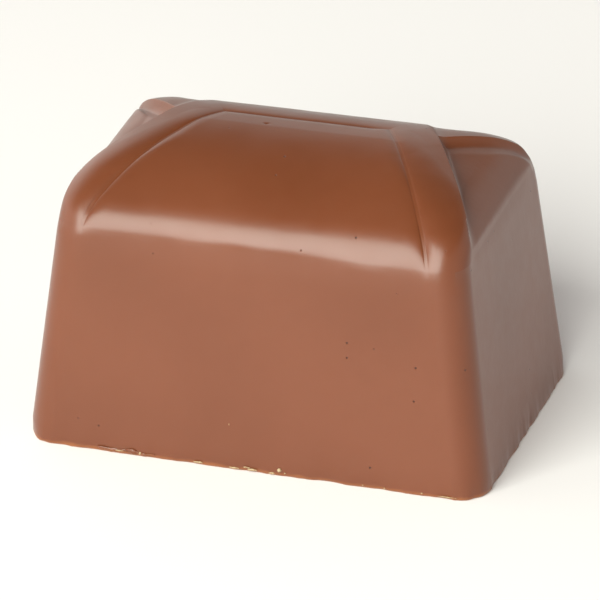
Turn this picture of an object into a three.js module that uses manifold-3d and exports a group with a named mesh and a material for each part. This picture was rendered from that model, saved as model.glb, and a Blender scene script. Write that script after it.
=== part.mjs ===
// A moulded milk chocolate praline: one solid block, in millimetres, standing on z = 0.
// X runs along the long side, Y across it, and the front is at -Y.
//
// The block is a stack of rounded rectangles. Their half sizes come from two outlines, one
// seen from the front and one seen from the end: a straight drafted wall, a round shoulder
// and a crowned roof that reaches the level crest. The relief on top is cut out of that
// block: a thin groove round the front panel and another round the back panel, and a sunk
// triangle at each end, so that raised bands are left between them.

import * as THREE from 'three';
import { mergeVertices } from 'three/addons/utils/BufferGeometryUtils.js';
import Module from 'manifold-3d';

const degree = Math.PI / 180;

// ---- driving dimensions: the block

const length = 30;
const depth = 20.4;
const height = 18.9;
const cornerRadius = 2;         // upright corners, the same from the base to the roof

const endOutline = {            // left and right end, seen from the front
  base: length / 2,
  crest: 6.4,                   // half length of the level crest
  crestTilt: 4 * degree,
  roofTilt: 24 * degree,        // roof angle where the shoulder begins
  shoulderRadius: 3,
  draft: 7 * degree,
};

const longOutline = {           // front and back, seen from the end
  base: depth / 2,
  crest: 0,
  crestTilt: 2 * degree,
  roofTilt: 34 * degree,
  shoulderRadius: 4,
  draft: 4.6 * degree,
};

// ---- driving dimensions: the relief, as seen from above

const grooveWidth = 0.62;
const grooveDepth = 0.34;
const grooveFoot = 8.5;         // how far forward and back the grooves reach
const frontPanel = { side: -1, top: 1.73, halfTop: 5.55, legTilt: 27.5 * degree };
const backPanel = { side: 1, top: 4.5, halfTop: 7.1, legTilt: 38 * degree };

const triangle = {
  apex: [8.55, 1.78],
  frontTilt: 28.4 * degree,     // edges measured from the Y axis
  backTilt: 39 * degree,
  reach: 12,                    // length along Y of each edge of the cutter, past the wall
  drop: 0.7,                    // how far the floor lies below the bands
  spread: 0.4,                  // widening of the sunk floor, which lets it die out at the wall
};

// ---- driving dimensions: how finely the surface is divided

const longSteps = 24;
const shortSteps = 14;
const cornerSteps = 6;
const wallSteps = 4;
const shoulderSteps = 7;
const roofSteps = 12;
const grooveStep = 0.7;
const grooveSides = 8;
const halvings = 40;            // steps in the search for the surface above a point

const wasm = await Module();
wasm.setup();

// ---- outlines

// Completes an outline: the radius of the roof arc follows from the width left for it.
function completeOutline(o) {
  const wallTilt = Math.PI / 2 - o.draft;
  const shoulderRun = o.shoulderRadius * (Math.sin(wallTilt) - Math.sin(o.roofTilt));
  const shoulderDrop = o.shoulderRadius * (Math.cos(o.roofTilt) - Math.cos(wallTilt));
  const slope = Math.tan(o.draft);
  const roofRun = Math.sin(o.roofTilt) - Math.sin(o.crestTilt);
  const roofFall = Math.cos(o.crestTilt) - Math.cos(o.roofTilt);
  const room = o.base - o.crest - shoulderRun - (height - shoulderDrop) * slope;
  const roofRadius = room / (roofRun - roofFall * slope);
  const shoulderTop = height - roofRadius * roofFall;
  const wallTop = shoulderTop - shoulderDrop;
  const shoulderStart = o.crest + roofRadius * roofRun;
  return { ...o, wallTilt, slope, roofRadius, shoulderTop, wallTop, shoulderStart };
}

// Half width of an outline at height z.
function halfWidth(o, z) {
  if (z <= o.wallTop) return o.base - z * o.slope;
  if (z <= o.shoulderTop) {
    const tilt = Math.acos(Math.cos(o.roofTilt) - (o.shoulderTop - z) / o.shoulderRadius);
    return o.shoulderStart + o.shoulderRadius * (Math.sin(tilt) - Math.sin(o.roofTilt));
  }
  const tilt = Math.acos(Math.cos(o.crestTilt) - (height - z) / o.roofRadius);
  return o.crest + o.roofRadius * (Math.sin(tilt) - Math.sin(o.crestTilt));
}

const ends = completeOutline(endOutline);
const longs = completeOutline(longOutline);

// Heights of the rings, evenly spaced along the long outline.
function ringHeights() {
  const heights = [];
  for (let i = 0; i < wallSteps; i++) heights.push(longs.wallTop * i / wallSteps);
  for (let i = 0; i < shoulderSteps; i++) {
    const tilt = THREE.MathUtils.lerp(longs.wallTilt, longs.roofTilt, i / shoulderSteps);
    const fall = longs.shoulderRadius * (Math.cos(longs.roofTilt) - Math.cos(tilt));
    heights.push(longs.shoulderTop - fall);
  }
  for (let i = 0; i <= roofSteps; i++) {
    const tilt = THREE.MathUtils.lerp(longs.roofTilt, longs.crestTilt, i / roofSteps);
    heights.push(height - longs.roofRadius * (Math.cos(longs.crestTilt) - Math.cos(tilt)));
  }
  return heights;
}

// ---- the block

// One ring: a rounded rectangle of half sizes a and b, with the same number of points each time.
function ring(a, b, z) {
  const r = Math.min(cornerRadius, a, b);
  const points = [];
  const corners = [[1, -1], [1, 1], [-1, 1], [-1, -1]];
  corners.forEach(([sx, sy], k) => {
    for (let i = 0; i < cornerSteps; i++) {
      const turn = (k - 1 + i / cornerSteps) * Math.PI / 2;
      points.push([sx * (a - r) + r * Math.cos(turn), sy * (b - r) + r * Math.sin(turn), z]);
    }
    const turn = k * Math.PI / 2;
    const start = [sx * (a - r) + r * Math.cos(turn), sy * (b - r) + r * Math.sin(turn)];
    const next = corners[(k + 1) % 4];
    const end = [next[0] * (a - r) + r * Math.cos(turn), next[1] * (b - r) + r * Math.sin(turn)];
    const steps = k % 2 === 0 ? shortSteps : longSteps;
    for (let i = 0; i < steps; i++) {
      const t = i / steps;
      points.push([start[0] + (end[0] - start[0]) * t, start[1] + (end[1] - start[1]) * t, z]);
    }
  });
  return points;
}

// Joins rings into one closed skin. The first and last ring are flat slits that close it.
function skin(rings) {
  const count = rings[0].length;
  const index = [];
  for (let j = 0; j + 1 < rings.length; j++) {
    for (let i = 0; i < count; i++) {
      const a = j * count + i;
      const b = j * count + (i + 1) % count;
      index.push(a, b, b + count, a, b + count, a + count);
    }
  }
  const loose = new THREE.BufferGeometry();
  loose.setAttribute('position', new THREE.Float32BufferAttribute(rings.flat(2), 3));
  loose.setIndex(index);
  const merged = mergeVertices(loose, 1e-4);
  const old = merged.getIndex().array;
  const kept = [];
  for (let i = 0; i < old.length; i += 3) {
    const [a, b, c] = [old[i], old[i + 1], old[i + 2]];
    if (a !== b && b !== c && c !== a) kept.push(a, b, c);
  }
  merged.setIndex(kept);
  return merged;
}

// The whole block. Lowered and spread, the same shape is the floor of the sunk triangles.
function block(drop = 0, spread = 0) {
  const rings = [ring(ends.base - longs.base, 0, -drop)];
  for (const z of ringHeights()) {
    const a = halfWidth(ends, z);
    const b = halfWidth(longs, z);
    rings.push(ring(a + spread, b + spread, z - drop));
  }
  rings.push(ring(ends.crest, 0, height - drop));
  return skin(rings);
}

// ---- solids

function toSolid(geometry) {
  const bare = geometry.clone();
  bare.deleteAttribute('normal');
  bare.deleteAttribute('uv');
  const merged = mergeVertices(bare, 1e-4);
  const mesh = new wasm.Mesh({
    numProp: 3,
    vertProperties: new Float32Array(merged.attributes.position.array),
    triVerts: new Uint32Array(merged.getIndex().array),
  });
  return new wasm.Manifold(mesh);
}

function toGeometry(solid) {
  const mesh = solid.getMesh();
  const geometry = new THREE.BufferGeometry();
  geometry.setAttribute('position', new THREE.BufferAttribute(mesh.vertProperties, 3));
  geometry.setIndex(new THREE.BufferAttribute(mesh.triVerts, 1));
  geometry.computeVertexNormals();
  return geometry;
}

// ---- the relief

// Distance in plan from the block's outline at height z, negative inside.
function planDistance(x, y, z) {
  const a = halfWidth(ends, z);
  const b = halfWidth(longs, z);
  const r = Math.min(cornerRadius, a, b);
  const dx = Math.abs(x) - (a - r);
  const dy = Math.abs(y) - (b - r);
  return Math.hypot(Math.max(dx, 0), Math.max(dy, 0)) + Math.min(Math.max(dx, dy), 0) - r;
}

// Height of the block's surface above a point, found by halving.
function surfaceHeight(x, y) {
  let low = 0;
  let high = height;
  for (let i = 0; i < halvings; i++) {
    const middle = (low + high) / 2;
    if (planDistance(x, y, middle) < 0) low = middle;
    else high = middle;
  }
  return (low + high) / 2;
}

// The middle of the groove's round section above a point in plan.
function grooveCentre(x, y) {
  return new THREE.Vector3(x, y, surfaceHeight(x, y) + grooveWidth / 2 - grooveDepth);
}

// A bar laid along the surface from one point in plan to another. It cuts a straight groove.
function grooveBar(start, end) {
  const steps = Math.ceil(start.distanceTo(end) / grooveStep);
  const points = [];
  for (let i = 0; i <= steps; i++) {
    const p = start.clone().lerp(end, i / steps);
    points.push(grooveCentre(p.x, p.y));
  }
  const section = new THREE.Shape();
  for (let i = 0; i < grooveSides; i++) {
    const turn = (i + 0.5) * 2 * Math.PI / grooveSides;
    const radius = grooveWidth / 2;
    if (i === 0) section.moveTo(radius * Math.cos(turn), radius * Math.sin(turn));
    else section.lineTo(radius * Math.cos(turn), radius * Math.sin(turn));
  }
  section.closePath();
  const path = new THREE.CatmullRomCurve3(points);
  return new THREE.ExtrudeGeometry(section, { steps, extrudePath: path, bevelEnabled: false });
}

// A ball that rounds the groove off where a bar ends or turns.
function grooveBall(point) {
  const ball = new THREE.SphereGeometry(grooveWidth / 2, grooveSides, grooveSides / 2);
  const centre = grooveCentre(point.x, point.y);
  return ball.rotateX(Math.PI / 2).translate(centre.x, centre.y, centre.z);
}

// The groove round one panel: up one slanting leg, along the top edge and down the other leg.
function panelCutters(panel) {
  const foot = panel.side * grooveFoot;
  const halfFoot = panel.halfTop + Math.abs(foot - panel.top) * Math.tan(panel.legTilt);
  const corners = [
    new THREE.Vector2(-halfFoot, foot),
    new THREE.Vector2(-panel.halfTop, panel.top),
    new THREE.Vector2(panel.halfTop, panel.top),
    new THREE.Vector2(halfFoot, foot),
  ];
  const cutters = corners.map(grooveBall);
  for (let i = 0; i + 1 < corners.length; i++) cutters.push(grooveBar(corners[i], corners[i + 1]));
  return cutters;
}

// An upright prism over one sunk triangle, from halfway up the wall to above the crest.
// side is 1 at the right end and -1 at the left.
function trianglePrism(side) {
  const [x, y] = triangle.apex;
  const outline = new THREE.Shape();
  outline.moveTo(side * x, y);
  outline.lineTo(side * (x + triangle.reach * Math.tan(triangle.frontTilt)), y - triangle.reach);
  outline.lineTo(side * (length / 2 + triangle.reach), y);
  outline.lineTo(side * (x + triangle.reach * Math.tan(triangle.backTilt)), y + triangle.reach);
  outline.closePath();
  const prism = new THREE.ExtrudeGeometry(outline, { depth: height, bevelEnabled: false });
  prism.translate(0, 0, longs.wallTop / 2);
  return prism;
}

function praline() {
  let body = toSolid(block());
  const floor = toSolid(block(triangle.drop, triangle.spread));
  for (const side of [-1, 1]) {
    body = body.subtract(toSolid(trianglePrism(side)).subtract(floor));
  }
  for (const panel of [frontPanel, backPanel]) {
    for (const cutter of panelCutters(panel)) body = body.subtract(toSolid(cutter));
  }
  return toGeometry(body);
}

// ---- the model

const milkChocolate = new THREE.MeshStandardMaterial({
  color: 0x8a4b31,
  roughness: 0.38,
  metalness: 0,
});

const model = new THREE.Group();
const piece = new THREE.Mesh(praline(), milkChocolate);
piece.name = 'praline';
model.add(piece);

export default model;
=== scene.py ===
import math

import bpy
import numpy as np
from mathutils import Matrix, Vector


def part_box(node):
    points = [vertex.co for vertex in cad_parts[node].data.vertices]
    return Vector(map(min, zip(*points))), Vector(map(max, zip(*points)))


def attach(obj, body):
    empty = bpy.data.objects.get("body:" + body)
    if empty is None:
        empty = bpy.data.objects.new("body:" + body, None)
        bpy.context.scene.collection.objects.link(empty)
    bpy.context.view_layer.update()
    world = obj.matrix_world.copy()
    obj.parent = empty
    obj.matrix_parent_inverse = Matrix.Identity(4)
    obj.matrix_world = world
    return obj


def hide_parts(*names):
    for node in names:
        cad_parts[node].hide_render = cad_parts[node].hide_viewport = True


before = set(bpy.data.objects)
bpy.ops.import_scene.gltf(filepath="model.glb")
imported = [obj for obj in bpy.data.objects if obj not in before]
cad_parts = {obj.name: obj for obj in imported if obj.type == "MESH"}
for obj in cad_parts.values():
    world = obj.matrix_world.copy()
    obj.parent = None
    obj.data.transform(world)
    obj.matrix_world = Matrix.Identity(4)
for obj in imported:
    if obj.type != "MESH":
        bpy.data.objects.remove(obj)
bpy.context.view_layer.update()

mm = 0.001
low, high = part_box("praline")
print("praline: the packed part is", [round(side / mm, 2) for side in high - low], "mm")


# the camera comes first: a long lens, looking down at the front from a little to the right

viewFrom = {
    "azimuth": 17.95,     # degrees, from straight in front towards the right end
    "elevation": 26.03,
    "roll": -0.5,
    "distance": 408.3 * mm,
    "aim": (0, 0.12 * mm, 7.05 * mm),
    "lens": 390.6,        # mm
    "sensor": 36,         # mm
}


def makeCamera(place):
    # the camera sits on a sphere round the aim, looks at it, and is rolled about that line
    turn, lift = math.radians(place["azimuth"]), math.radians(place["elevation"])
    back = Vector((math.sin(turn) * math.cos(lift), -math.cos(turn) * math.cos(lift), math.sin(lift)))
    data = bpy.data.cameras.new("camera")
    data.lens = place["lens"]
    data.sensor_width = place["sensor"]
    data.clip_start, data.clip_end = 0.01, 20
    camera = bpy.data.objects.new("camera", data)
    bpy.context.scene.collection.objects.link(camera)
    look = (-back).to_track_quat("-Z", "Y").to_matrix().to_4x4()
    roll = Matrix.Rotation(math.radians(place["roll"]), 4, "Z")
    position = Matrix.Translation(Vector(place["aim"]) + back * place["distance"])
    camera.matrix_world = position @ look @ roll
    bpy.context.scene.camera = camera


makeCamera(viewFrom)
print("camera: ready")


# the praline's own shape

block = {
    "length": high.x - low.x,
    "depth": high.y - low.y,
    "height": high.z,
    "corner": 2.0 * mm,          # radius of the upright corners
    "rim": 14.6 * mm,            # the top grid ends at this height, and the walls go on below it
    "base edge": 0.16 * mm,      # rounding where the walls meet the base
}

endOutline = {                   # left and right end, seen from the front
    "base": block["length"] / 2,
    "crest": 6.4 * mm,           # half length of the level crest
    "crest tilt": math.radians(4),
    "roof tilt": math.radians(24),
    "shoulder": 3.0 * mm,        # radius
    "draft": math.radians(7),
}

longOutline = {                  # front and back, seen from the end
    "base": block["depth"] / 2,
    "crest": 0.0,
    "crest tilt": math.radians(2),
    "roof tilt": math.radians(34),
    "shoulder": 4.0 * mm,
    "draft": math.radians(4.6),
}

relief = {
    "shift": -0.12 * mm,         # the pattern sits a little left of the block's middle
    "groove depth": 0.18 * mm,
    "right leg": 0.5,            # share of the depth that is left along the front panel's right leg
    "right leg across": (-1.5 * mm, 0.5 * mm),   # that begins here, from the panel's upper corner
    "right leg along": (-7.9 * mm, -6.2 * mm),   # and ends here, where the groove is deep again
    "groove floor": 0.10 * mm,   # half width of its flat floor
    "groove middle": 0.16 * mm,  # its floor lies this far outside the panel's edge
    "groove foot": 8.55 * mm,    # how far forward and back the grooves reach
    "foot fade": 0.60 * mm,
    "band round": 1.30 * mm,     # how far from the groove the band begins to round down
    "panel round": 0.85 * mm,
    "edge power": 0.6,           # lower makes both edges of a groove sharper
    "front top": 1.98 * mm,      # the front panel's top edge lies behind the crest
    "front half": 5.28 * mm,
    "front leg": math.radians(27.5),
    "back top": 6.2 * mm,
    "back half": 8.4 * mm,
    "back leg": math.radians(38),
    "band top": 5.4 * mm,        # the front band ends here, behind the crest
    "left apex": (8.50 * mm, 2.12 * mm),    # the two arms are the upper edges of the steps
    "right apex": (8.46 * mm, 2.20 * mm),
    "front arm": math.radians(28.4),
    "back arm": math.radians(41),
    "back drop": 0.15 * mm,      # how far the roof behind the front band lies below it
    "drop": 0.66 * mm,           # how far the end triangles lie below the front band
    "dip": 0.06,                 # and how much lower they get on the way to the front
    "left deeper": 0.22 * mm,    # the left one lies this much deeper than the right one
    "spread": 0.12,              # widening of a lowered part, which lets it die out at the wall
    "fade": 0.05,                # softness of that end
    "step": 0.75 * mm,           # width of the step down, sharp at its top and filled out at its foot
    "step power": 0.6,
    "fuller back": 0.05 * mm,    # the roof stands this much higher behind the crest
    "fuller from": (0, 5 * mm),
    "lean": 0.008,               # and it rises this much towards the right end
    "roof level": (0.5, 0.9),    # both fade out where the surface turns from the roof into a wall
}

fineness = {
    "panel": 62, "band": 58, "end": 46,       # columns from the middle to either end
    "front": 92, "ridge": 26, "strip": 18, "back": 40,   # rows from the front shoulder to the back one
    "wall": 16,
    "base edge": 5,
    "crowd": 0.70,               # 0 spaces lines evenly, towards 1 crowds them at edges
    "rim room": 0.8 * mm,        # the panel's and the band's edges stay this far inside the rim
    "least band": 0.9 * mm,
    "least end": 0.7 * mm,
    "halvings": 44,
    "table": 4000,
}

waves = {                        # slow unevenness of the moulded skin
    "seed": 7,
    "count": 26,
    "longest": 11 * mm,
    "shortest": 2.2 * mm,
    "height": 0.007 * mm,
}

pinhole = {"at": (-2.12 * mm, 0.33 * mm), "radius": 0.13 * mm, "depth": 0.12 * mm}   # a burst air bubble

scrapedEdge = {
    "seed": 12,
    "count": 40,
    "longest": 5 * mm,
    "shortest": 0.5 * mm,
    "height": 0.035 * mm,
    "reach": 0.8 * mm,           # how far up the walls the roughness goes
}


def completeOutline(o):
    # the outline is a straight drafted wall, a shoulder arc and a roof arc that meet without a kink;
    # the roof's radius is the width left over, divided by what one unit of radius takes up
    wallTilt = math.pi / 2 - o["draft"]
    run = o["shoulder"] * (math.sin(wallTilt) - math.sin(o["roof tilt"]))
    drop = o["shoulder"] * (math.cos(o["roof tilt"]) - math.cos(wallTilt))
    slope = math.tan(o["draft"])
    roofRun = math.sin(o["roof tilt"]) - math.sin(o["crest tilt"])
    roofFall = math.cos(o["crest tilt"]) - math.cos(o["roof tilt"])
    room = o["base"] - o["crest"] - run - (block["height"] - drop) * slope
    radius = room / (roofRun - roofFall * slope)
    shoulderTop = block["height"] - radius * roofFall
    return {**o, "slope": slope, "wall tilt": wallTilt, "radius": radius, "shoulder top": shoulderTop,
            "wall top": shoulderTop - drop, "shoulder start": o["crest"] + radius * roofRun}


ends, longs = completeOutline(endOutline), completeOutline(longOutline)


def halfWidth(o, z):
    # at height z: on the wall the base less z times the slope, on the arcs the start of the arc plus
    # radius times the change in the sine of the tilt, with the cosine of the tilt read from the height
    roofTilt = np.arccos(np.clip(np.cos(o["crest tilt"]) - (block["height"] - z) / o["radius"], -1, 1))
    roof = o["crest"] + o["radius"] * (np.sin(roofTilt) - math.sin(o["crest tilt"]))
    tilt = np.arccos(np.clip(math.cos(o["roof tilt"]) - (o["shoulder top"] - z) / o["shoulder"], -1, 1))
    shoulder = o["shoulder start"] + o["shoulder"] * (np.sin(tilt) - math.sin(o["roof tilt"]))
    wall = o["base"] - z * o["slope"]
    return np.where(z <= o["wall top"], wall, np.where(z <= o["shoulder top"], shoulder, roof))


def outsideBy(x, y, z):
    # distance in plan from the rounded rectangle that the block has at height z, negative inside it
    a, b = halfWidth(ends, z), halfWidth(longs, z)
    r = np.minimum(block["corner"], np.minimum(a, b))
    dx, dy = np.abs(x) - (a - r), np.abs(y) - (b - r)
    return np.hypot(np.maximum(dx, 0), np.maximum(dy, 0)) + np.minimum(np.maximum(dx, dy), 0) - r


def surfaceHeight(x, y):
    # the height at which a point in plan crosses from inside the block to outside, found by halving
    lower, upper = np.zeros_like(x), np.full_like(x, block["height"])
    for _ in range(fineness["halvings"]):
        middle = (lower + upper) / 2
        inside = outsideBy(x, y, middle) < 0
        lower, upper = np.where(inside, middle, lower), np.where(inside, upper, middle)
    return (lower + upper) / 2


def outwards(x, y):
    # unit normals of the bare block above points in plan: minus the two slopes, and one upwards
    h = 0.002 * mm
    dzdx = (surfaceHeight(x + h, y) - surfaceHeight(x - h, y)) / (2 * h)
    dzdy = (surfaceHeight(x, y + h) - surfaceHeight(x, y - h)) / (2 * h)
    normal = np.stack([-dzdx, -dzdy, np.ones_like(x)], -1)
    return normal / np.linalg.norm(normal, axis=-1, keepdims=True)


# the outline as a function of the way along it, so that lines can be spaced evenly round the shoulders

def lengthAlong(o, across):
    # way along the outline from the middle to a half width: the level crest, then radius times tilt
    # on each arc, then the wall's run divided by the sine of its draft
    roof = math.sin(o["crest tilt"]) + (across - o["crest"]) / o["radius"]
    roof = np.clip(np.arcsin(np.clip(roof, -1, 1)), o["crest tilt"], o["roof tilt"]) - o["crest tilt"]
    bend = math.sin(o["roof tilt"]) + (across - o["shoulder start"]) / o["shoulder"]
    bend = np.clip(np.arcsin(np.clip(bend, -1, 1)), o["roof tilt"], o["wall tilt"]) - o["roof tilt"]
    wallStart = o["base"] - o["wall top"] * o["slope"]
    wall = np.maximum(across - wallStart, 0) / math.sin(o["draft"])
    return np.minimum(across, o["crest"]) + o["radius"] * roof + o["shoulder"] * bend + wall


def widthAlong(o, way):
    # the inverse of lengthAlong, read off a table of it that is finer near the rim, where it is steep
    rim, count = float(halfWidth(o, np.array(block["rim"]))), fineness["table"]
    steep = rim * 0.98
    widths = np.concatenate([np.linspace(0, steep, count), np.linspace(steep, rim, count)[1:]])
    return np.sign(way) * np.interp(np.abs(way), lengthAlong(o, widths), widths)


def crowded(count, atStart, atEnd):
    # steps from 0 to 1 that crowd together at either end: w less a part of a sine of w
    w, k = np.linspace(0, 1, count + 1), fineness["crowd"]
    if atStart and atEnd:
        return w - k * np.sin(2 * np.pi * w) / (2 * np.pi)
    if atEnd:
        return w + k * np.sin(np.pi * w) / np.pi
    if atStart:
        return w - k * np.sin(np.pi * w) / np.pi
    return w


def gridRows():
    # y of each row, from the front rim to the back rim, crowded at the two panels' top edges
    rim = lengthAlong(longs, halfWidth(longs, np.array(block["rim"])))
    tops = [lengthAlong(longs, relief[edge]) for edge in ("front top", "band top", "back top")]
    stops = [-rim] + tops + [rim]
    parts = [start + (end - start) * crowded(fineness[part], part != "front", part != "back")
             for start, end, part in zip(stops, stops[1:], ("front", "ridge", "strip", "back"))]
    return widthAlong(longs, np.concatenate([parts[0]] + [part[1:] for part in parts[1:]]))


def panelEdge(y):
    # half width of the panels at y: one leg in front, the other behind, and a straight run between
    front = relief["front half"] + (relief["front top"] - y) * math.tan(relief["front leg"])
    back = relief["back half"] + (y - relief["back top"]) * math.tan(relief["back leg"])
    between = np.interp(y, [relief["front top"], relief["back top"]],
                        [relief["front half"], relief["back half"]])
    return np.where(y < relief["front top"], front, np.where(y > relief["back top"], back, between))


def bandEdge(y, side):
    # where the band ends and the sunk triangle begins: two arms that meet in the apex
    x, middle = relief["left apex" if side < 0 else "right apex"]
    front = (middle - y) * math.tan(relief["front arm"])
    back = (y - middle) * math.tan(relief["back arm"])
    return x + np.maximum(front, back)


def halfColumns(y, side):
    # way along the end outline of every column on one side in every row. The columns follow the
    # panel's edge and the band's edge, crowd together there, and are spaced evenly in between.
    rimX = float(halfWidth(ends, np.array(block["rim"])))
    edges = (panelEdge(y) + side * relief["shift"], bandEdge(y, side) + side * relief["shift"])
    stops = [lengthAlong(ends, np.minimum(edge, rimX - fineness["rim room"])) for edge in edges]
    last = lengthAlong(ends, rimX)
    stops[1] = np.clip(stops[1], stops[0] + fineness["least band"], last - fineness["least end"])
    panel = stops[0][:, None] * crowded(fineness["panel"], False, True)
    band = stops[0][:, None] + (stops[1] - stops[0])[:, None] * crowded(fineness["band"], True, True)
    end = stops[1][:, None] + (last - stops[1])[:, None] * crowded(fineness["end"], True, False)
    return np.concatenate([panel, band[:, 1:], end[:, 1:]], 1)


def gridColumns(y):
    left, right = halfColumns(y, -1), halfColumns(y, 1)
    return widthAlong(ends, np.concatenate([-left[:, :0:-1], right], 1))


def roundedCorners(x, y):
    # presses the corner squares of the grid into quarter circles: each coordinate is shortened by
    # the root of one less half the other's square
    rimX, rimY = (float(halfWidth(o, np.array(block["rim"]))) for o in (ends, longs))
    r = block["corner"]
    u, v = np.clip((np.abs(x) - rimX + r) / r, 0, 1), np.clip((np.abs(y) - rimY + r) / r, 0, 1)
    newX = np.where(u > 0, np.sign(x) * (rimX - r + r * u * np.sqrt(1 - v * v / 2)), x)
    newY = np.where(v > 0, np.sign(y) * (rimY - r + r * v * np.sqrt(1 - u * u / 2)), y)
    return newX, newY


def smoothStep(start, end, value):
    t = np.clip((value - start) / (end - start), 0, 1)
    return t * t * (3 - 2 * t)


def roundedEdge(t):
    # a pillow's edge: level at t = 0 and steepest at t = 1, where it has dropped by one
    t = np.clip(t, 0, 1)
    return 1 - (1 - t * t) ** relief["edge power"]


def grooveCut(x, y):
    # depth of the grooves. The distance from a panel's edge is positive on the band's side. The
    # floor is level, both sides round down to it, and it fades out at the foot of each leg.
    depth = np.zeros_like(x)
    floor, foot = relief["groove floor"], relief["groove foot"]
    start, end = relief["right leg across"]
    for side, part in ((-1, "front"), (1, "back")):
        top, half, leg = relief[part + " top"], relief[part + " half"], relief[part + " leg"]
        across, along = np.abs(x - relief["shift"]) - half, side * (y - top)
        off = np.maximum(-along, across * math.cos(leg) - along * math.sin(leg))
        off = off - relief["groove middle"]
        width = np.where(off > 0, relief["band round"], relief["panel round"])
        profile = roundedEdge(1 - (np.abs(off) - floor) / width)
        fade = 1 - smoothStep(foot - relief["foot fade"], foot + relief["foot fade"], side * y)
        onLeg = smoothStep(half + start, half + end, x) * smoothStep(*relief["right leg along"], y)
        share = 1 - (1 - relief["right leg"]) * onLeg * (side < 0)
        depth = np.maximum(depth, relief["groove depth"] * profile * fade * share)
    return depth


def loweredBy(x, y, normal):
    # how far the roof lies below the bare block, along the normal: a little behind the front band,
    # and further in the end triangles. Each is the block moved straight down and slightly widened,
    # let in by a step: the smooth step of a low power of the way, which is steep near its top.
    onLeft = x < relief["shift"]
    apexX, apexY = (np.where(onLeft, l, r) for l, r in zip(relief["left apex"], relief["right apex"]))
    px, py = np.abs(x - relief["shift"]) - apexX, y - apexY
    inFront = px * math.cos(relief["front arm"]) + py * math.sin(relief["front arm"])
    behind = px * math.cos(relief["back arm"]) - py * math.sin(relief["back arm"])
    pastBand, inTriangle = np.maximum(inFront, y - relief["band top"]), np.minimum(inFront, behind)
    steps = [smoothStep(0, 1, np.clip(way / relief["step"], 0, 1) ** relief["step power"])
             for way in (pastBand, inTriangle)]
    deep = relief["drop"] + relief["left deeper"] * onLeft + relief["dip"] * np.maximum(behind, 0)
    total = relief["back drop"] * steps[0] + (deep - relief["back drop"]) * steps[1]
    level = normal[..., 2]
    share = level - relief["spread"] * np.sqrt(np.maximum(1 - level * level, 0))
    lowered = total * (share + np.sqrt(share * share + relief["fade"] ** 2)) / 2
    fuller = relief["fuller back"] * smoothStep(*relief["fuller from"], y) + relief["lean"] * x
    return lowered - fuller * smoothStep(*relief["roof level"], level)


def waviness(points, look):
    # a sum of sine waves in random directions, each as high as its length is of the longest one's
    rng = np.random.default_rng(look["seed"])
    total = np.zeros(points.shape[:-1])
    for wavelength in np.geomspace(look["longest"], look["shortest"], look["count"]):
        direction = rng.normal(size=3)
        direction *= 2 * np.pi / wavelength / np.linalg.norm(direction)
        strength = look["height"] * wavelength / look["longest"]
        total += strength * np.sin(points @ direction + rng.uniform(0, 2 * np.pi))
    return total


def pinholeDepth(x, y):
    # a round pit: its depth times a bell curve of the distance from its middle
    away = np.hypot(x - pinhole["at"][0], y - pinhole["at"][1]) / pinhole["radius"]
    return pinhole["depth"] * np.exp(-2 * away ** 2)


def topGrid():
    y = gridRows()
    x = gridColumns(y)
    x, y = roundedCorners(x, np.broadcast_to(y[:, None], x.shape))
    points = np.stack([x, y, surfaceHeight(x, y)], -1)
    normal = outwards(x, y)
    cut = grooveCut(x, y) + loweredBy(x, y, normal) + pinholeDepth(x, y) + waviness(points, waves)
    atRim = np.zeros_like(x)
    atRim[0, :] = atRim[-1, :] = atRim[:, 0] = atRim[:, -1] = 1
    return points - normal * (cut * (1 - atRim))[..., None]


def rimOf(grid):
    # the grid's border, once round, anticlockwise from above
    return np.concatenate([grid[0, :-1], grid[:-1, -1], grid[-1, :0:-1], grid[:0:-1, 0]])


def wallRings(rim):
    # each ring is the rim again with its straight sides scaled to the outline at that height: the
    # centre of each corner moves, and the radius stays. The last rings round the base edge under.
    r, rimZ = block["corner"], block["rim"]
    rimA, rimB = (float(halfWidth(o, np.array(rimZ))) - r for o in (ends, longs))
    core = np.stack([np.clip(rim[:, 0], -rimA, rimA), np.clip(rim[:, 1], -rimB, rimB)], -1)
    outward = (rim[:, :2] - core) / np.linalg.norm(rim[:, :2] - core, axis=1, keepdims=True)
    edge = block["base edge"]
    heights = rimZ + (edge - rimZ) * np.linspace(0, 1, fineness["wall"] + 1)[1:]
    under = np.radians(np.linspace(0, 90, fineness["base edge"] + 1)[1:])
    heights = np.concatenate([heights, edge * (1 - np.sin(under))])
    inset = np.concatenate([np.zeros(fineness["wall"]), edge * (1 - np.cos(under))])
    a = halfWidth(ends, np.maximum(heights, edge)) - r
    b = halfWidth(longs, np.maximum(heights, edge)) - r
    growth = np.stack([a / rimA, b / rimB], -1)
    plan = core[None] * growth[:, None] + outward[None] * (r - inset)[:, None, None]
    rings = np.concatenate([plan, np.broadcast_to(heights[:, None, None], plan.shape[:2] + (1,))], -1)
    rough = waviness(rings, scrapedEdge) * (1 - smoothStep(0, scrapedEdge["reach"], heights))[:, None]
    rings[..., :2] -= outward[None] * np.abs(rough)[..., None]
    return rings


def gridFaces(rows, columns):
    corner = (np.arange(rows - 1)[:, None] * columns + np.arange(columns - 1)).ravel()
    return np.stack([corner, corner + 1, corner + columns + 1, corner + columns], 1)


def makeMesh(name, points, quads, triangles):
    mesh = bpy.data.meshes.new(name)
    mesh.from_pydata(points, [], quads.tolist() + triangles.tolist())
    mesh.polygons.foreach_set("use_smooth", np.ones(len(mesh.polygons), bool))
    mesh.validate()
    piece = bpy.data.objects.new(name, mesh)
    bpy.context.scene.collection.objects.link(piece)
    return piece


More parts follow.
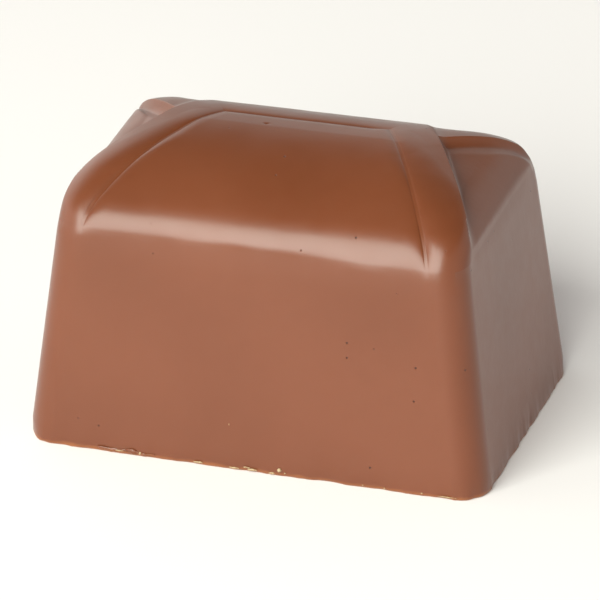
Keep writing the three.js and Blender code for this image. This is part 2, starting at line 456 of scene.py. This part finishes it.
def makePraline():
    grid = topGrid()
    rows, columns = grid.shape[:2]
    rings = wallRings(rimOf(grid))
    number = np.arange(rows * columns).reshape(rows, columns)
    around = len(rings[0])
    lower = rows * columns + np.arange(rings.shape[0] * around).reshape(-1, around)
    stack = np.concatenate([rimOf(number)[None], lower])
    upper, under = stack[:-1], stack[1:]
    nextUpper, nextUnder = np.roll(upper, -1, 1), np.roll(under, -1, 1)
    walls = np.stack([upper, under, nextUnder, nextUpper], -1).reshape(-1, 4)
    points = np.concatenate([grid.reshape(-1, 3), rings.reshape(-1, 3), [[0, 0, 0]]])
    middle = np.full(around, len(points) - 1)
    base = np.stack([nextUnder[-1], under[-1], middle], -1)
    piece = makeMesh("pralineBody", points, np.concatenate([gridFaces(rows, columns), walls]), base)
    triangles = 2 * (len(walls) + (rows - 1) * (columns - 1)) + around
    print("praline: surface of", triangles, "triangles")
    return piece


body = makePraline()
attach(body, "root")
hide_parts("praline")


# milk chocolate

chocolate = {
    "dark": (0.131, 0.0360, 0.0128, 1),
    "light": (0.146, 0.0415, 0.0160, 1),
    "noise range": (0.3, 0.7),   # nearly all values of a noise lie in it
    "cloud size": 130,           # noise scales, in features per metre
    "mottle size": 850,
    "mottle share": 0.25,
    "edge": (0.25, 0.085, 0.026, 1),    # painted highlight: the lower edge is painted warmer and lighter for the light line along it
    "rim highlight heights": (0.32 * mm, 0.04 * mm),
    "rim highlight raggedness": 0.3 * mm,
    "roughness": (0.278, 0.325),
    "skin size": 420,
    "skin height": 0.006 * mm,
    "grain size": 2600,
    "grain height": 0.004 * mm,
    "pore cells": 700,           # fine pinholes: a share of the cells has one
    "pore share": 0.5,
    "pore radius": 0.028,        # in cells
    "pore depth": 0.05 * mm,
    # painted shade: the colour of the fine pores, darker for the shade inside them
    "pore shade": (0.045, 0.012, 0.006, 1),
    "depth": 0.9 * mm,           # how far light wanders under the skin
}


def addNode(tree, kind, place, **settings):
    node = tree.nodes.new(kind)
    node.location = place
    for name, value in settings.items():
        setattr(node, name, value)
    return node


def addNoise(tree, place, scale, detail, vector):
    noise = addNode(tree, "ShaderNodeTexNoise", place)
    noise.inputs["Scale"].default_value = scale
    noise.inputs["Detail"].default_value = detail
    tree.links.new(vector, noise.inputs["Vector"])
    return noise.outputs["Fac"]


def addRange(tree, place, value, source, target):
    # carries a value from one pair of numbers over to another, and stops at either end
    node = addNode(tree, "ShaderNodeMapRange", place)
    node.inputs["From Min"].default_value, node.inputs["From Max"].default_value = source
    node.inputs["To Min"].default_value, node.inputs["To Max"].default_value = target
    tree.links.new(value, node.inputs["Value"])
    return node.outputs["Result"]


def addMath(tree, place, operation, first, second):
    node = addNode(tree, "ShaderNodeMath", place, operation=operation)
    for value, socket in zip((first, second), node.inputs):
        if isinstance(value, (int, float)):
            socket.default_value = value
        else:
            tree.links.new(value, socket)
    return node.outputs["Value"]


def addMix(tree, place, share, first, second):
    node = addNode(tree, "ShaderNodeMix", place, data_type="RGBA")
    tree.links.new(share, node.inputs[0])
    for value, socket in ((first, node.inputs[6]), (second, node.inputs[7])):
        if isinstance(value, tuple):
            socket.default_value = value
        else:
            tree.links.new(value, socket)
    return node.outputs[2]


def addBump(tree, place, height, distance, normal=None):
    node = addNode(tree, "ShaderNodeBump", place)
    node.inputs["Distance"].default_value = distance
    tree.links.new(height, node.inputs["Height"])
    if normal:
        tree.links.new(normal, node.inputs["Normal"])
    return node.outputs["Normal"]


def addPores(tree, vector, look):
    # a small disc round the middle of those Voronoi cells whose random number is high enough
    cells = addNode(tree, "ShaderNodeTexVoronoi", (-1100, -700))
    cells.inputs["Scale"].default_value = look["pore cells"]
    tree.links.new(vector, cells.inputs["Vector"])
    number = addNode(tree, "ShaderNodeSeparateColor", (-900, -800))
    tree.links.new(cells.outputs["Color"], number.inputs["Color"])
    chosen = addMath(tree, (-700, -800), "LESS_THAN", number.outputs["Red"], look["pore share"])
    reach = (look["pore radius"], look["pore radius"] * 2)
    disc = addRange(tree, (-700, -650), cells.outputs["Distance"], reach, (1, 0))
    return addMath(tree, (-500, -700), "MULTIPLY", disc, chosen)


def makeChocolate(look):
    material = bpy.data.materials.new("milkChocolate")
    material.use_nodes = True
    tree = material.node_tree
    shader = tree.nodes["Principled BSDF"]
    link = tree.links.new
    place = addNode(tree, "ShaderNodeTexCoord", (-1400, 0)).outputs["Object"]

    clouds = addNoise(tree, (-1100, 400), look["cloud size"], 0, place)
    mottle = addNoise(tree, (-1100, 200), look["mottle size"], 3, place)
    fine = addRange(tree, (-900, 350), mottle, look["noise range"], (-0.5, 0.5))
    fine = addMath(tree, (-900, 200), "MULTIPLY", fine, look["mottle share"])
    slow = addRange(tree, (-900, 500), clouds, look["noise range"], (0, 1))
    share = addMath(tree, (-700, 300), "ADD", slow, fine)
    colour = addMix(tree, (-500, 300), share, look["dark"], look["light"])

    parts = addNode(tree, "ShaderNodeSeparateXYZ", (-1100, 0))
    link(place, parts.inputs["Vector"])
    # painted highlight: a warmer, lighter band of colour up the lower edge, to a ragged height, stands
    # in for the light line along it
    ragged = addMath(tree, (-900, 0), "MULTIPLY", mottle, look["rim highlight raggedness"])
    height = addMath(tree, (-800, 0), "ADD", parts.outputs["Z"], ragged)
    limits = [z + look["rim highlight raggedness"] / 2 for z in look["rim highlight heights"]]
    edge = addRange(tree, (-700, 0), height, limits, (0, 1))
    colour = addMix(tree, (-300, 300), edge, colour, look["edge"])

    pores = addPores(tree, place, look)
    # painted shade: the pores are painted dark for the shade inside them, as well as pitted by the bump
    # below
    colour = addMix(tree, (-150, 300), pores, colour, look["pore shade"])
    link(colour, shader.inputs["Base Color"])
    dullness = addRange(tree, (-500, 100), mottle, look["noise range"], look["roughness"])
    link(dullness, shader.inputs["Roughness"])

    skin = addNoise(tree, (-1100, -200), look["skin size"], 2, place)
    grain = addNoise(tree, (-1100, -400), look["grain size"], 3, place)
    normal = addBump(tree, (-600, -200), skin, look["skin height"])
    normal = addBump(tree, (-400, -300), grain, look["grain height"], normal)
    pits = addMath(tree, (-350, -600), "SUBTRACT", 1, pores)
    normal = addBump(tree, (-200, -400), pits, look["pore depth"], normal)
    link(normal, shader.inputs["Normal"])

    shader.inputs["IOR"].default_value = 1.5
    shader.inputs["Specular IOR Level"].default_value = 0.38
    shader.inputs["Coat Weight"].default_value = 0.35
    shader.inputs["Coat Roughness"].default_value = 0.5
    shader.inputs["Coat IOR"].default_value = 1.3
    shader.inputs["Subsurface Weight"].default_value = 0.12
    shader.inputs["Subsurface Radius"].default_value = (1.0, 0.35, 0.15)
    shader.inputs["Subsurface Scale"].default_value = look["depth"]
    return material


milkChocolate = makeChocolate(chocolate)
body.data.materials.append(milkChocolate)
print("chocolate: ready")


# crumbs of cocoa butter and smears, most of them along the front wall's lower edge; each spot gives
# x and z of the middle, then the half width, the half height and how far it stands out, all in mm

creamFlecks = {
    "spots": (
        (1.89, 0.43, 0.145, 0.135, 0.11),
        (2.26, 0.27, 0.050, 0.045, 0.04),
        (1.40, 0.16, 0.240, 0.070, 0.05),
        (0.12, 0.20, 0.330, 0.075, 0.04),
        (-0.22, 0.31, 0.210, 0.050, 0.03),
        (-1.05, 0.17, 0.330, 0.060, 0.03),
        (-3.40, 0.20, 0.300, 0.070, 0.04),
        (-7.20, 0.24, 0.080, 0.100, 0.04),
        (-7.70, 0.29, 0.250, 0.070, 0.05),
        (-8.70, 0.24, 0.450, 0.040, 0.03),
        (7.28, 0.22, 0.050, 0.050, 0.03),
        (8.68, 0.20, 0.060, 0.060, 0.03),
        (11.07, 0.23, 0.070, 0.050, 0.03),
        (12.70, 0.20, 0.600, 0.030, 0.02),
        (-1.41, 3.02, 0.035, 0.070, 0.02),
    ),
    "rows": 10,
    "columns": 16,
    "unevenness": {"seed": 5, "count": 24, "longest": 0.30 * mm, "shortest": 0.06 * mm,
                   "height": 0.006 * mm},
    "colour": (0.38, 0.29, 0.165, 1),
    "shade": (0.25, 0.135, 0.062, 1),
    "grain size": 9000,
    "grain range": (0.35, 0.6),
    "grain height": 0.01 * mm,
    "roughness": 0.55,
}

edgeFold = {                     # a thin fold of chocolate left by the scraper
    "spots": ((-8.55, 0.30, 1.45, 0.13, 0.085), (-6.75, 0.24, 0.55, 0.07, 0.05)),
    "rows": 20,
    "columns": 48,
    "unevenness": {"seed": 9, "count": 30, "longest": 1.2 * mm, "shortest": 0.15 * mm,
                   "height": 0.030 * mm},
}

clearance = 0.01 * mm            # marks stay this far above the floor


def frontWall(x, z):
    # y of the front wall above x at height z, round its corners too, almost to their ends
    a, b, r = halfWidth(ends, z), halfWidth(longs, z), block["corner"]
    past = np.clip(np.abs(x) - (a - r), 0, r * 0.98)
    return -(b - r + np.sqrt(r * r - past * past))


def makeBeads(name, look):
    # flattened drops: each is a sphere of turn and rise, stretched to its three half sizes, with its
    # middle on the wall, so that the inner half is sunk in
    spots = np.array(look["spots"]) * mm
    rise = np.linspace(-np.pi / 2, np.pi / 2, look["rows"] + 1)[1:-1]
    turn = np.linspace(0, 2 * np.pi, look["columns"], endpoint=False)
    ring = np.stack([np.outer(np.cos(rise), np.cos(turn)), np.outer(np.cos(rise), np.sin(turn)),
                     np.outer(np.sin(rise), np.ones_like(turn))], -1).reshape(-1, 3)
    ball = np.concatenate([[[0, 0, -1]], ring, [[0, 0, 1]]])
    middle = np.stack([spots[:, 0], frontWall(spots[:, 0], spots[:, 1]), spots[:, 1]], -1)
    points = middle[:, None] + ball[None] * spots[:, None, [2, 4, 3]]
    points += ball[None] * waviness(points, look["unevenness"])[..., None]
    points[..., 2] = np.maximum(points[..., 2], clearance)
    rings, around = len(rise), look["columns"]
    number = 1 + np.arange(rings * around).reshape(rings, around)
    beside = np.roll(number, -1, 1)
    quads = np.stack([number[:-1], beside[:-1], beside[1:], number[1:]], -1).reshape(-1, 4)
    bottom = np.stack([np.zeros(around, int), beside[0], number[0]], -1)
    top = np.stack([np.full(around, rings * around + 1), number[-1], beside[-1]], -1)
    start = (np.arange(len(spots)) * len(ball))[:, None, None]
    allQuads = (quads[None] + start).reshape(-1, 4)
    allTriangles = (np.concatenate([bottom, top])[None] + start).reshape(-1, 3)
    piece = makeMesh(name, points.reshape(-1, 3), allQuads, allTriangles)
    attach(piece, "root")
    print(name + ":", len(spots), "of them")
    return piece


def makeCream(look):
    material = bpy.data.materials.new("cocoaButter")
    material.use_nodes = True
    tree = material.node_tree
    shader = tree.nodes["Principled BSDF"]
    place = addNode(tree, "ShaderNodeTexCoord", (-900, 0)).outputs["Object"]
    grain = addNoise(tree, (-700, 0), look["grain size"], 3, place)
    share = addRange(tree, (-500, 100), grain, look["grain range"], (0, 1))
    colour = addMix(tree, (-300, 100), share, look["shade"], look["colour"])
    tree.links.new(colour, shader.inputs["Base Color"])
    tree.links.new(addBump(tree, (-300, -200), grain, look["grain height"]), shader.inputs["Normal"])
    shader.inputs["Roughness"].default_value = look["roughness"]
    return material


makeBeads("creamFlecks", creamFlecks).data.materials.append(makeCream(creamFlecks))
makeBeads("edgeFold", edgeFold).data.materials.append(milkChocolate)


# floor and light

floorLook = {"half": 1.6, "colour": (0.87, 0.85, 0.855, 1), "roughness": 0.6}


def makeFloor(look):
    half = look["half"]
    corners = [(-half, -half, 0), (half, -half, 0), (half, half, 0), (-half, half, 0)]
    mesh = bpy.data.meshes.new("floor")
    mesh.from_pydata(corners, [], [(0, 1, 2, 3)])
    floor = bpy.data.objects.new("floor", mesh)
    bpy.context.scene.collection.objects.link(floor)
    material = bpy.data.materials.new("paleFloor")
    material.use_nodes = True
    shader = material.node_tree.nodes["Principled BSDF"]
    shader.inputs["Base Color"].default_value = look["colour"]
    shader.inputs["Roughness"].default_value = look["roughness"]
    mesh.materials.append(material)


# each lamp is a rectangle at a distance from the praline, given by the direction it shines from
lamps = {
    "frontBox": {
        "azimuth": -11,
        "elevation": 33.5,
        "distance": 0.60,
        "aim height": 10 * mm,
        "size": (0.55, 0.40),
        "power": 6.95,
        "colour": (0.98, 1, 0.92),
    },
}

surroundings = {
    "colour": (1, 0.96, 0.91, 1),
    # sine of the height above the horizon, and the strength there
    "stops": ((0.0, 0.75), (0.20, 0.88), (0.38, 0.88), (0.49, 0.76), (0.66, 0.06)),
    "sides": (2.2, 1.0),         # it is stronger to the left of the first of these directions
    "sides from": (-0.57, -0.48),
}


def makeLamp(name, look):
    turn, lift = math.radians(look["azimuth"]), math.radians(look["elevation"])
    away = Vector((math.sin(turn) * math.cos(lift), -math.cos(turn) * math.cos(lift), math.sin(lift)))
    data = bpy.data.lights.new(name, "AREA")
    data.shape = "RECTANGLE"
    data.size, data.size_y = look["size"]
    data.energy = look["power"]
    data.color = look["colour"]
    lamp = bpy.data.objects.new(name, data)
    lamp.location = away * look["distance"] + Vector((0, 0, look["aim height"]))
    lamp.rotation_mode = "QUATERNION"
    lamp.rotation_quaternion = (-away).to_track_quat("-Z", "Y")
    bpy.context.scene.collection.objects.link(lamp)


def makeWorld(look):
    world = bpy.data.worlds.new("studio")
    bpy.context.scene.world = world
    world.use_nodes = True
    tree = world.node_tree
    link = tree.links.new
    direction = addNode(tree, "ShaderNodeTexCoord", (-900, 0))
    parts = addNode(tree, "ShaderNodeSeparateXYZ", (-700, 0))
    link(direction.outputs["Generated"], parts.inputs["Vector"])
    rise = addNode(tree, "ShaderNodeValToRGB", (-500, 0))
    rise.color_ramp.interpolation = "EASE"
    (start, strength), *others = look["stops"]
    rise.color_ramp.elements.remove(rise.color_ramp.elements[1])
    rise.color_ramp.elements[0].position = start
    rise.color_ramp.elements[0].color = (strength, strength, strength, 1)
    for start, strength in others:
        rise.color_ramp.elements.new(start).color = (strength, strength, strength, 1)
    link(parts.outputs["Z"], rise.inputs["Fac"])
    sideways = addRange(tree, (-500, -300), parts.outputs["X"], look["sides from"], look["sides"])
    both = addMath(tree, (-200, -100), "MULTIPLY", rise.outputs["Color"], sideways)
    link(both, tree.nodes["Background"].inputs["Strength"])
    tree.nodes["Background"].inputs["Color"].default_value = look["colour"]


makeFloor(floorLook)
for lampName, lampLook in lamps.items():
    makeLamp(lampName, lampLook)
makeWorld(surroundings)
bpy.context.scene.view_settings.view_transform = "Standard"
print("studio: floor, light and surroundings are ready")
